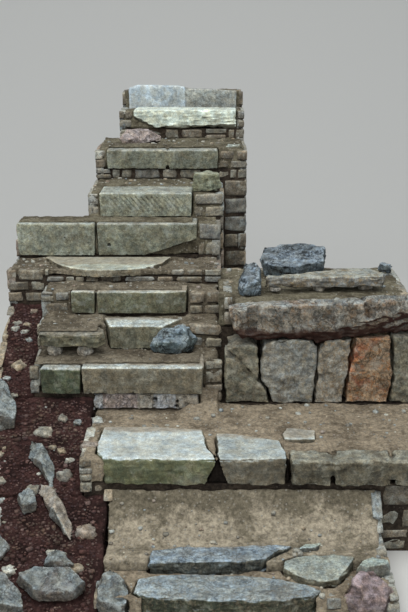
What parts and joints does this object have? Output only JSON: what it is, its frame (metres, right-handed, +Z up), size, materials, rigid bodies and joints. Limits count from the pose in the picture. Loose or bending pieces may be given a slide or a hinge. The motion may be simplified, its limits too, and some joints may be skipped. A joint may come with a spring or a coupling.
{
  "type": "outdoor stone steps",
  "caption": "Rustic garden steps of split granite slabs with packed-earth treads, on rubble beds, with a dry-stone wing wall and an edge of boulders.",
  "frame": {"origin": "on the floor, on the underside of the lowest step's slab, on the flight's centre line", "axes": "+Z up, +Y up the flight from the lowest step to the top, +X to the right of someone climbing"},
  "size_m": [2.888, 4.95, 2.485],
  "materials": {
    "pale_granite": "split",
    "grey_granite": "split and weathered",
    "brown_granite": "split and lichened",
    "rust_stone": "rough",
    "blue_stone": "angular",
    "boulder_stone": "rough",
    "rubble": "dry-laid",
    "packed_earth": "worn"
  },
  "bodies": {
    "root": {"blue_grey_edge_rock": "blue_stone", "earth_riser_02": "packed_earth", "earth_tread_01": "packed_earth", "earth_tread_03": "packed_earth", "earth_treads_04_to_07": "packed_earth", "earth_treads_08_to_12": "packed_earth", "left_cheek_lower": "rubble", "left_cheek_middle": "rubble", "left_cheek_upper": "rubble", "left_edge_boulders": "boulder_stone", "rubble_bed_02": "rubble", "rubble_bed_03": "rubble", "rubble_bed_04": "rubble", "rubble_bed_04_left": "rubble", "rubble_bed_05": "rubble", "rubble_bed_06": "rubble", "rubble_bed_07": "rubble", "rubble_bed_08": "rubble", "rubble_bed_09": "rubble", "rubble_bed_10": "rubble", "rubble_bed_11": "rubble", "step_01_end_boulders": "boulder_stone", "step_01_slab": "pale_granite", "step_02_end_stones": "boulder_stone", "step_02_side_slab": "pale_granite", "step_02_slab": "blue_stone", "step_03_back_slab": "pale_granite", "step_03_kerb_stones": "pale_granite", "step_03_left_slab": "pale_granite", "step_03_right_slab": "pale_granite", "step_04_block": "grey_granite", "step_04_left_block": "grey_granite", "step_04_packing_stones": "boulder_stone", "step_05_left_block": "grey_granite", "step_05_prop_stones": "boulder_stone", "step_05_right_block": "grey_granite", "step_06_blocks": "grey_granite", "step_07_tread_slab": "grey_granite", "step_08_left_block": "grey_granite", "step_08_right_block": "grey_granite", "step_09_block": "grey_granite", "step_09_end_stone": "boulder_stone", "step_10_boulders": "boulder_stone", "step_10_slabs": "grey_granite", "step_11_slab": "pale_granite", "step_12_upright_slabs": "grey_granite", "terrace_core": "rubble", "terrace_earth": "packed_earth", "terrace_prop_stones": "boulder_stone", "terrace_rocks": "blue_stone", "terrace_slab": "grey_granite", "wing_capstone": "brown_granite", "wing_footing": "rubble", "wing_middle_stone": "grey_granite", "wing_rust_stone": "rust_stone", "wing_small_stones": "grey_granite"}
  },
  "joints": []
}
